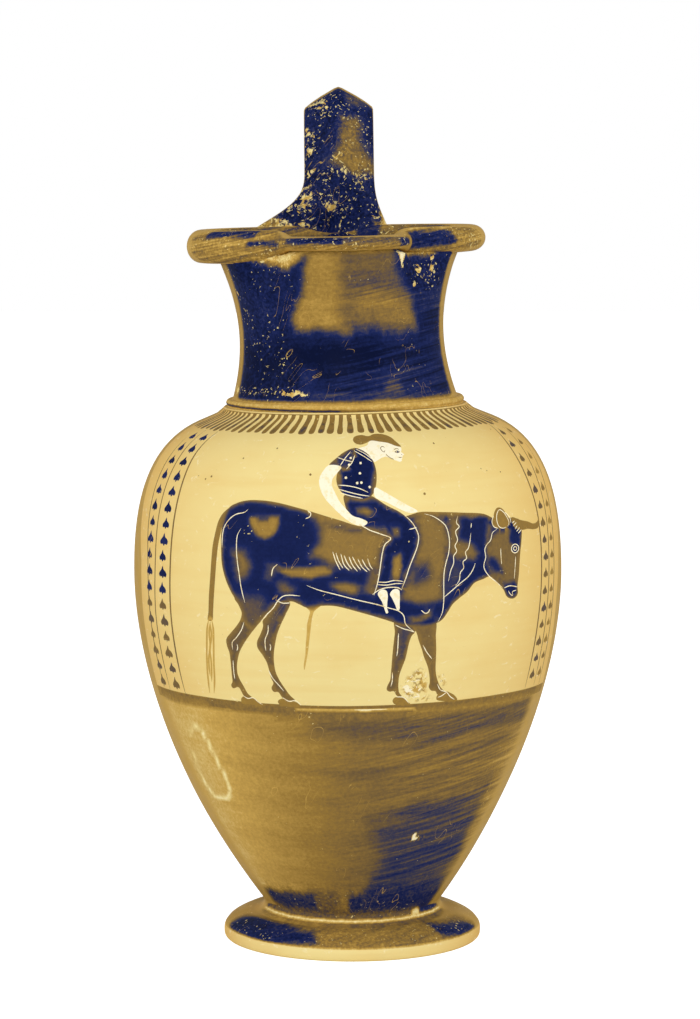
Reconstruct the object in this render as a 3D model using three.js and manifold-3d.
// Wine jug of fired clay: a disc foot, an egg-shaped body, a collar, a concave neck, a three-lobed
// mouth with a rolled lip, and a high strap handle with a ridge along its back.
// The jug is hollow and open at the mouth. Millimetres, +Z up, the spout towards -Y.
import * as THREE from 'three';
import { mergeVertices } from 'three/addons/utils/BufferGeometryUtils.js';
import Module from 'manifold-3d';

// Foot: a disc with a low convex top, on a flat ring around a shallow recess.
const FOOT_RADIUS = 38.8;
const FOOT_EDGE_HEIGHT = 3.5;
const FOOT_HEIGHT = 7.8;
const FOOT_EDGE_ROUNDING = 0.6;
const SOLE_RING_WIDTH = 10;
const SOLE_RECESS_DEPTH = 1.6;

// Body: an egg shape on a narrow stem, widest above its middle.
const STEM_RADIUS = 26.6;
const STEM_HEIGHT = 3.5;
const BODY_RADIUS = 64.1;
const LOWER_BODY_HEIGHT = 100;
const SHOULDER_HEIGHT = 47.6;
const SHOULDER_TOP_RADIUS = 35.8;

// Collar: the shoulder turns up into a bead below the neck.
const COLLAR_RADIUS = 35.6;
const COLLAR_HEIGHT = 4.4;
const COLLAR_FILLET = 2.1;

// Neck: a concave tube that widens to the mouth.
const NECK_BASE_RADIUS = 33.5;
const NECK_TOP_RADIUS = 36;
const NECK_HEIGHT = 43;
const MOUTH_FLARE = 2;

// Walls.
const BODY_WALL = 4.6;
const NECK_WALL = 4;
const FLOOR_THICKNESS = 5.5;

// Mouth in plan: a spout in front, a lobe on each side and a round back, as four circles.
const SPOUT_REACH = 39.5;
const SPOUT_RADIUS = 20.5;
const LOBE_REACH = 44.7;
const LOBE_RADIUS = 26.5;
const LOBE_SETBACK = 4.5;
const MOUTH_BACK_REACH = 37.5;
const MOUTH_BACK_RADIUS = 30.5;
const SPOUT_TURN_DEGREES = 4.5;
const PINCH_SHARPNESS = 26;

// Lip: a rolled edge, thinner at the spout and thicker on the left lobe.
const LIP_RISE = 7.3;
const LIP_HALF_WIDTH = 4.2;
const LIP_HALF_HEIGHT = 4.4;
const SPOUT_LIP_HALF_HEIGHT = 2.1;
const SPOUT_DIP = 1.8;
const LIP_UNEVENNESS = 0.5;
const SPOUT_HALF_ANGLE_DEGREES = 43;

// Handle: a strap that rises from the back of the lip and comes down on the shoulder.
const HANDLE_RISE = 42.4;
const HANDLE_BACK_REACH = 55.8;
const HANDLE_WIDTH = 21.4;
const HANDLE_EDGE_THICKNESS = 4;
const HANDLE_RIDGE = 5.8;
const HANDLE_EDGE_ROUNDING = 1.4;
const HANDLE_LIP_WIDTH = 48;
const HANDLE_LIP_SHIFT = 8;
const HANDLE_OFFSET = 0.7;
const HANDLE_SHOULDER_WIDTH = 27;
const HANDLE_SINK = 2.4;

// The potter's lean: the axis drifts to -X, more in the neck, and the rims are low on that side.
const BODY_LEAN_DEGREES = 0.75;
const NECK_LEAN_DEGREES = 2.4;
const RIM_TILT_DEGREES = 1.1;

// Steps of the mesh.
const TURN_STEPS = 56;
const LOWER_BODY_STEPS = 10;
const SHOULDER_STEPS = 8;
const NECK_STEPS = 9;
const LIP_STEPS = 8;
const HANDLE_STEPS = 26;
const JOIN_TOLERANCE = 0.01;

const CLAY_COLOR = 0xd9bd78;

// Heights of the parts above the ground.
const STEM_TOP = FOOT_HEIGHT + STEM_HEIGHT;
const WIDEST = STEM_TOP + LOWER_BODY_HEIGHT;
const SHOULDER_TOP = WIDEST + SHOULDER_HEIGHT;
const NECK_BASE = SHOULDER_TOP + COLLAR_HEIGHT;
const NECK_TOP = NECK_BASE + NECK_HEIGHT;
const LIP_TOP = NECK_TOP + LIP_RISE;
const HANDLE_TOP = LIP_TOP + HANDLE_RISE;
const FLOOR_TOP = FOOT_HEIGHT + FLOOR_THICKNESS;
const MEAN_MOUTH_RADIUS = NECK_TOP_RADIUS + MOUTH_FLARE;

const radians = THREE.MathUtils.degToRad;
const mix = THREE.MathUtils.lerp;
const step = THREE.MathUtils.smoothstep;

// One row of the jug's section: a radius and a height, with how far the lobes and pinches of the
// mouth reach it, and its place around the lip's section where it belongs to the lip.
function row(r, z, { pinch = 0, lobe = 0, lip = null } = {}) {
  return { r, z, pinch, lobe, lip };
}

function lowerBodyCurve() {
  const reach = BODY_RADIUS - STEM_RADIUS;
  return new THREE.CubicBezierCurve(
    new THREE.Vector2(STEM_RADIUS, STEM_TOP),
    new THREE.Vector2(STEM_RADIUS + 0.615 * reach, STEM_TOP + 0.315 * LOWER_BODY_HEIGHT),
    new THREE.Vector2(BODY_RADIUS, WIDEST - 0.31 * LOWER_BODY_HEIGHT),
    new THREE.Vector2(BODY_RADIUS, WIDEST),
  );
}

function shoulderCurve() {
  const reach = BODY_RADIUS - SHOULDER_TOP_RADIUS;
  return new THREE.CubicBezierCurve(
    new THREE.Vector2(BODY_RADIUS, WIDEST),
    new THREE.Vector2(BODY_RADIUS, WIDEST + 0.54 * SHOULDER_HEIGHT),
    new THREE.Vector2(SHOULDER_TOP_RADIUS + 0.78 * reach, SHOULDER_TOP - 0.07 * SHOULDER_HEIGHT),
    new THREE.Vector2(SHOULDER_TOP_RADIUS, SHOULDER_TOP),
  );
}

function neckCurve() {
  return new THREE.CubicBezierCurve(
    new THREE.Vector2(NECK_BASE_RADIUS, NECK_BASE),
    new THREE.Vector2(NECK_BASE_RADIUS - 0.11 * NECK_HEIGHT, NECK_BASE + 0.35 * NECK_HEIGHT),
    new THREE.Vector2(NECK_TOP_RADIUS - 0.15 * NECK_HEIGHT, NECK_TOP - 0.35 * NECK_HEIGHT),
    new THREE.Vector2(NECK_TOP_RADIUS, NECK_TOP),
  );
}

// Rows along a curve of the outer face, and the same rows one wall further in.
function curveRows(curve, steps, wall) {
  const outer = [];
  const inner = [];
  for (let i = 0; i <= steps; i += 1) {
    const point = curve.getPoint(i / steps);
    const along = curve.getTangent(i / steps);
    outer.push(row(point.x, point.y));
    inner.push(row(point.x - wall * along.y, point.y + wall * along.x));
  }
  return { outer, inner };
}

// The pinches draw the top of the neck inwards over its upper quarter.
function withPinch(rows) {
  return rows.map(({ r, z }) => row(r, z, { pinch: step(z, NECK_TOP - 0.3 * NECK_HEIGHT, NECK_TOP + 3) }));
}

function footRows() {
  const soleInner = FOOT_RADIUS - SOLE_RING_WIDTH;
  const slope = FOOT_HEIGHT - FOOT_EDGE_HEIGHT;
  const ledge = FOOT_RADIUS - STEM_RADIUS;
  return [
    row(0, SOLE_RECESS_DEPTH),
    row(soleInner - SOLE_RECESS_DEPTH, SOLE_RECESS_DEPTH),
    row(soleInner, 0),
    row(FOOT_RADIUS - FOOT_EDGE_ROUNDING, 0),
    row(FOOT_RADIUS, FOOT_EDGE_HEIGHT / 2),
    row(FOOT_RADIUS - FOOT_EDGE_ROUNDING / 2, FOOT_EDGE_HEIGHT),
    row(FOOT_RADIUS - 0.28 * ledge, FOOT_EDGE_HEIGHT + 0.62 * slope),
    row(FOOT_RADIUS - 0.56 * ledge, FOOT_EDGE_HEIGHT + 0.95 * slope),
    row(STEM_RADIUS + 0.12 * ledge, FOOT_HEIGHT + 0.15 * STEM_HEIGHT),
    row(STEM_RADIUS + 0.02 * ledge, FOOT_HEIGHT + 0.5 * STEM_HEIGHT),
  ];
}

function collarRows() {
  const fillet = SHOULDER_TOP + COLLAR_FILLET;
  const bead = COLLAR_HEIGHT - COLLAR_FILLET;
  return [
    row(SHOULDER_TOP_RADIUS + 1.2 * COLLAR_FILLET, SHOULDER_TOP + 0.1 * COLLAR_FILLET),
    row(SHOULDER_TOP_RADIUS + 0.6 * COLLAR_FILLET, SHOULDER_TOP + 0.45 * COLLAR_FILLET),
    row(SHOULDER_TOP_RADIUS + 0.2 * COLLAR_FILLET, fillet),
    row(COLLAR_RADIUS - 0.2 * bead, fillet + 0.08 * bead),
    row(COLLAR_RADIUS, fillet + 0.5 * bead),
    row(COLLAR_RADIUS - 0.25 * bead, fillet + 0.92 * bead),
  ];
}

// The lip's section is an ellipse, from under its outer edge over the crest to the inside.
function lipRows() {
  const rows = [];
  for (let i = 0; i <= LIP_STEPS; i += 1) {
    const turn = mix(-0.55, 0.85, i / LIP_STEPS) * Math.PI;
    const r = MEAN_MOUTH_RADIUS - LIP_HALF_WIDTH * (1 - Math.cos(turn));
    rows.push(row(r, LIP_TOP, { pinch: 1, lobe: 1, lip: turn }));
  }
  return rows;
}

function floorRows() {
  return [row(0.7 * (STEM_RADIUS - BODY_WALL), FLOOR_TOP), row(0, FLOOR_TOP)];
}

function sectionRows() {
  const lower = curveRows(lowerBodyCurve(), LOWER_BODY_STEPS, BODY_WALL);
  const upper = curveRows(shoulderCurve(), SHOULDER_STEPS, BODY_WALL);
  const neck = curveRows(neckCurve(), NECK_STEPS, NECK_WALL);
  const lowerInside = lower.inner.filter(({ z }) => z > FLOOR_TOP + 1);
  return [
    ...footRows(),
    ...lower.outer,
    ...upper.outer.slice(1, -1),
    ...collarRows(),
    ...withPinch(neck.outer),
    ...lipRows(),
    ...withPinch(neck.inner.slice(0, -1)).reverse(),
    ...upper.inner.slice(1).reverse(),
    ...lowerInside.reverse(),
    ...floorRows(),
  ];
}

// Distance from the axis to the mouth's edge in a direction: the far crossings with the four
// circles, joined by a power mean that rounds the pinches between them.
function mouthReach(x, y) {
  const lobeCentre = LOBE_REACH - LOBE_RADIUS;
  const circles = [
    [0, SPOUT_RADIUS - SPOUT_REACH, SPOUT_RADIUS],
    [lobeCentre, LOBE_SETBACK, LOBE_RADIUS],
    [-lobeCentre, LOBE_SETBACK, LOBE_RADIUS],
    [0, MOUTH_BACK_REACH - MOUTH_BACK_RADIUS, MOUTH_BACK_RADIUS],
  ];
  let sum = 0;
  for (const [cx, cy, radius] of circles) {
    const along = x * cx + y * cy;
    const inside = Math.max(radius * radius - cx * cx - cy * cy + along * along, 0);
    sum += Math.max(along + Math.sqrt(inside), 1) ** PINCH_SHARPNESS;
  }
  return sum ** (1 / PINCH_SHARPNESS);
}

// Height of a row that belongs to the lip, where the spout is low and thin.
function lipHeight(turn, x, y) {
  const offFront = Math.acos(THREE.MathUtils.clamp(-y, -1, 1));
  const spoutHalf = radians(SPOUT_HALF_ANGLE_DEGREES);
  const spout = 1 - step(offFront, 0.7 * spoutHalf, 1.15 * spoutHalf);
  const half = mix(LIP_HALF_HEIGHT - LIP_UNEVENNESS * x, SPOUT_LIP_HALF_HEIGHT, spout);
  return LIP_TOP - SPOUT_DIP * spout - half + half * Math.sin(turn);
}

// A point of the upright jug moved by its lean: its axis drifts and its rims tilt.
function leaned(x, y, z) {
  const body = Math.max(z - FOOT_HEIGHT, 0) * Math.tan(radians(BODY_LEAN_DEGREES));
  const neckPart = THREE.MathUtils.clamp(z - SHOULDER_TOP, 0, NECK_HEIGHT);
  const neck = neckPart * Math.tan(radians(NECK_LEAN_DEGREES));
  const tilt = radians(RIM_TILT_DEGREES) * step(z, FOOT_HEIGHT, FOOT_HEIGHT + 40);
  return [x * Math.cos(tilt) - body - neck, y, z + x * Math.sin(tilt)];
}

function vesselGeometry() {
  const rows = sectionRows();
  const points = rows.map(({ r, z }) => new THREE.Vector2(r, z));
  const geometry = new THREE.LatheGeometry(points, TURN_STEPS);
  const position = geometry.attributes.position;
  const turn = radians(SPOUT_TURN_DEGREES);
  for (let i = 0; i < position.count; i += 1) {
    const { r, z, pinch, lobe, lip } = rows[i % rows.length];
    const angle = (2 * Math.PI * Math.floor(i / rows.length)) / TURN_STEPS;
    const x = Math.sin(angle);
    const y = -Math.cos(angle);
    const spread = mouthReach(Math.sin(angle - turn), -Math.cos(angle - turn)) - MEAN_MOUTH_RADIUS;
    const reach = r + (spread < 0 ? pinch : lobe) * spread;
    const height = lip === null ? z : lipHeight(lip, Math.sin(angle - turn), -Math.cos(angle - turn));
    position.setXYZ(i, ...leaned(reach * x, reach * y, height));
  }
  return geometry;
}

// Half of the strap's section as distances across and out from its middle: from the flat inner
// side, round the thin edge and up the straight flank to the ridge.
function strapHalfSection(width, ridge) {
  const half = width / 2;
  const edge = HANDLE_EDGE_THICKNESS / 2;
  const corner = HANDLE_EDGE_ROUNDING;
  return [
    [0.5 * half, -edge],
    [half - corner, -edge],
    [half, -edge + corner],
    [half, edge - corner],
    [half - corner, edge + 0.05 * ridge],
    [0.12 * half, edge + 0.9 * ridge],
  ];
}

function strapSection(width, ridge) {
  const right = strapHalfSection(width, ridge);
  const left = right.map(([across, out]) => [-across, out]).reverse();
  return [...right, [0, HANDLE_EDGE_THICKNESS / 2 + ridge], ...left];
}

// The handle's middle line in the plane of symmetry, from inside the lip over the top and down
// into the wall of the shoulder.
function handlePath() {
  const startY = MOUTH_BACK_REACH - LIP_HALF_WIDTH;
  const curve = shoulderCurve();
  const foot = curve.getPoint(0.8);
  const along = curve.getTangent(0.8);
  const endY = foot.x - HANDLE_SINK * along.y;
  const endZ = foot.y + HANDLE_SINK * along.x;
  const top = HANDLE_TOP - HANDLE_RIDGE - HANDLE_EDGE_THICKNESS / 2;
  const rise = top - LIP_TOP;
  const fall = top - endZ;
  const back = HANDLE_BACK_REACH - startY;
  const drop = HANDLE_BACK_REACH - endY;
  const points = [
    [startY, LIP_TOP - 1.5 * LIP_HALF_HEIGHT],
    [startY + 0.02 * back, LIP_TOP + 0.05 * rise],
    [startY + 0.09 * back, LIP_TOP + 0.42 * rise],
    [startY + 0.23 * back, LIP_TOP + 0.76 * rise],
    [startY + 0.52 * back, top],
    [startY + 0.82 * back, top - 0.05 * fall],
    [startY + 0.955 * back, top - 0.17 * fall],
    [HANDLE_BACK_REACH, top - 0.35 * fall],
    [HANDLE_BACK_REACH - 0.03 * drop, top - 0.53 * fall],
    [HANDLE_BACK_REACH - 0.16 * drop, top - 0.71 * fall],
    [HANDLE_BACK_REACH - 0.46 * drop, top - 0.86 * fall],
    [endY, endZ],
  ];
  return new THREE.CatmullRomCurve3(points.map(([y, z]) => new THREE.Vector3(0, y, z)), false, 'centripetal');
}

// The strap carried along its path. It is wide where it joins the lip, more to -X, and where it
// joins the shoulder, and it bows there to follow their round.
function handleGeometry() {
  const path = handlePath();
  const vertices = [];
  let count = 0;
  for (let i = 0; i <= HANDLE_STEPS; i += 1) {
    const share = i / HANDLE_STEPS;
    const point = path.getPointAt(share);
    const along = path.getTangentAt(share);
    const atLip = (1 - step(share, 0, 0.17)) ** 2;
    const atShoulder = step(share, 0.8, 1);
    const width = HANDLE_WIDTH
      + (HANDLE_LIP_WIDTH - HANDLE_WIDTH) * atLip
      + (HANDLE_SHOULDER_WIDTH - HANDLE_WIDTH) * atShoulder;
    const ridge = HANDLE_RIDGE * (1 - 0.75 * atLip) * (1 - 0.6 * atShoulder);
    const shift = HANDLE_OFFSET - HANDLE_LIP_SHIFT * atLip;
    const bow = atLip / (3 * MOUTH_BACK_RADIUS) + atShoulder / (4 * SHOULDER_TOP_RADIUS);
    const section = strapSection(width, ridge);
    count = section.length;
    for (const [across, out] of section) {
      const y = point.y - along.z * out - bow * across * across;
      vertices.push(...leaned(across + shift, y, point.z + along.y * out));
    }
  }
  const geometry = new THREE.BufferGeometry();
  geometry.setAttribute('position', new THREE.Float32BufferAttribute(vertices, 3));
  geometry.setIndex(tubeFaces(count, HANDLE_STEPS));
  return geometry;
}

// Faces of a closed tube of equal rings, with a fan on each end.
function tubeFaces(count, steps) {
  const faces = [];
  for (let i = 0; i < steps; i += 1) {
    for (let j = 0; j < count; j += 1) {
      const a = i * count + j;
      const b = i * count + ((j + 1) % count);
      faces.push(a, a + count, b, b, a + count, b + count);
    }
  }
  const last = steps * count;
  for (let j = 1; j < count - 1; j += 1) {
    faces.push(0, j, j + 1);
    faces.push(last, last + j + 1, last + j);
  }
  return faces;
}

// The same faces with shared corners merged and empty triangles dropped.
function joined(geometry, tolerance) {
  const bare = geometry.clone();
  bare.deleteAttribute('normal');
  bare.deleteAttribute('uv');
  const merged = mergeVertices(bare, tolerance);
  const corners = Array.from(merged.index.array);
  const kept = [];
  for (let i = 0; i < corners.length; i += 3) {
    const [a, b, c] = corners.slice(i, i + 3);
    if (a !== b && b !== c && c !== a) {
      kept.push(a, b, c);
    }
  }
  merged.setIndex(kept);
  return merged;
}

function toSolid(wasm, geometry) {
  const closed = joined(geometry, 1e-4);
  return new wasm.Manifold(new wasm.Mesh({
    numProp: 3,
    vertProperties: Float32Array.from(closed.attributes.position.array),
    triVerts: Uint32Array.from(closed.index.array),
  }));
}

function toGeometry(solid) {
  const mesh = solid.getMesh();
  const geometry = new THREE.BufferGeometry();
  geometry.setAttribute('position', new THREE.BufferAttribute(mesh.vertProperties, 3));
  geometry.setIndex(new THREE.BufferAttribute(mesh.triVerts, 1));
  return joined(geometry, JOIN_TOLERANCE);
}

// The origin is on the ground under the middle of the whole jug.
function centred(geometry) {
  geometry.computeBoundingBox();
  const { min, max } = geometry.boundingBox;
  geometry.translate(-(min.x + max.x) / 2, -(min.y + max.y) / 2, 0);
  geometry.computeVertexNormals();
  return geometry;
}

const wasm = await Module();
wasm.setup();

const clay = new THREE.MeshStandardMaterial({ color: CLAY_COLOR, roughness: 0.5, metalness: 0 });
const vessel = toSolid(wasm, vesselGeometry());
const handle = toSolid(wasm, handleGeometry());

const jug = new THREE.Mesh(centred(toGeometry(vessel.add(handle))), clay);
jug.name = 'wine_jug';

const part = new THREE.Group();
part.add(jug);

export default part;
